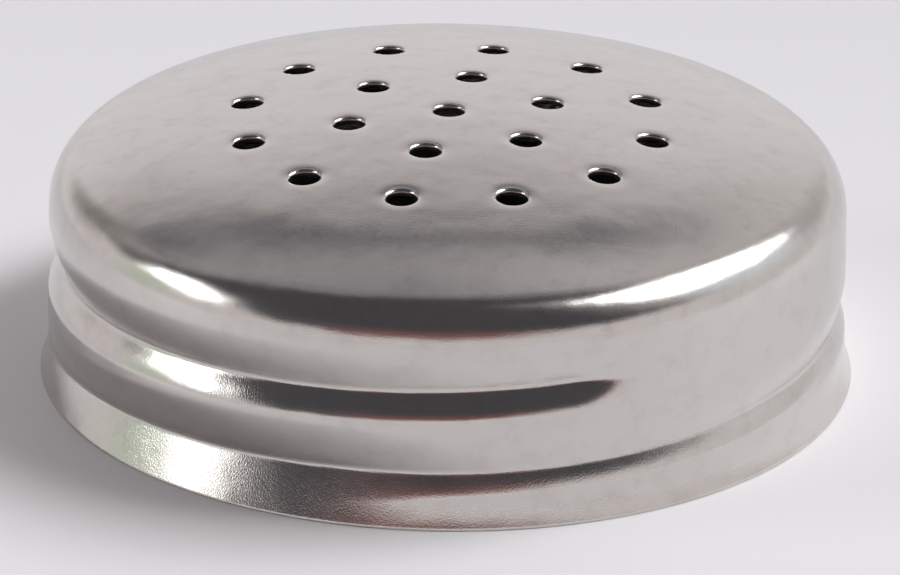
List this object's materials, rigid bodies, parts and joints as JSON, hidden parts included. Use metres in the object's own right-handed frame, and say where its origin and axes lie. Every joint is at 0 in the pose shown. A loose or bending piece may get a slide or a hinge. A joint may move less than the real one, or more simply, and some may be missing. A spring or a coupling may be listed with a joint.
{
  "type": "shaker lid",
  "caption": "Round domed sheet-steel shaker lid with punched pour holes, a rolled screw thread and a plain flared skirt.",
  "frame": {"origin": "centre of the round cut edge of the skirt, on the plane the lid stands on", "axes": "+Z along the lid's axis, from the open mouth up through the dome; the top tip of the thread is 35 degrees to the +X side of -Y"},
  "size_m": [0.042, 0.042, 0.014],
  "materials": {
    "steel_sheet": "satin, tumbled after pressing"
  },
  "bodies": {
    "root": {"shaker_lid": "steel_sheet"}
  },
  "joints": []
}
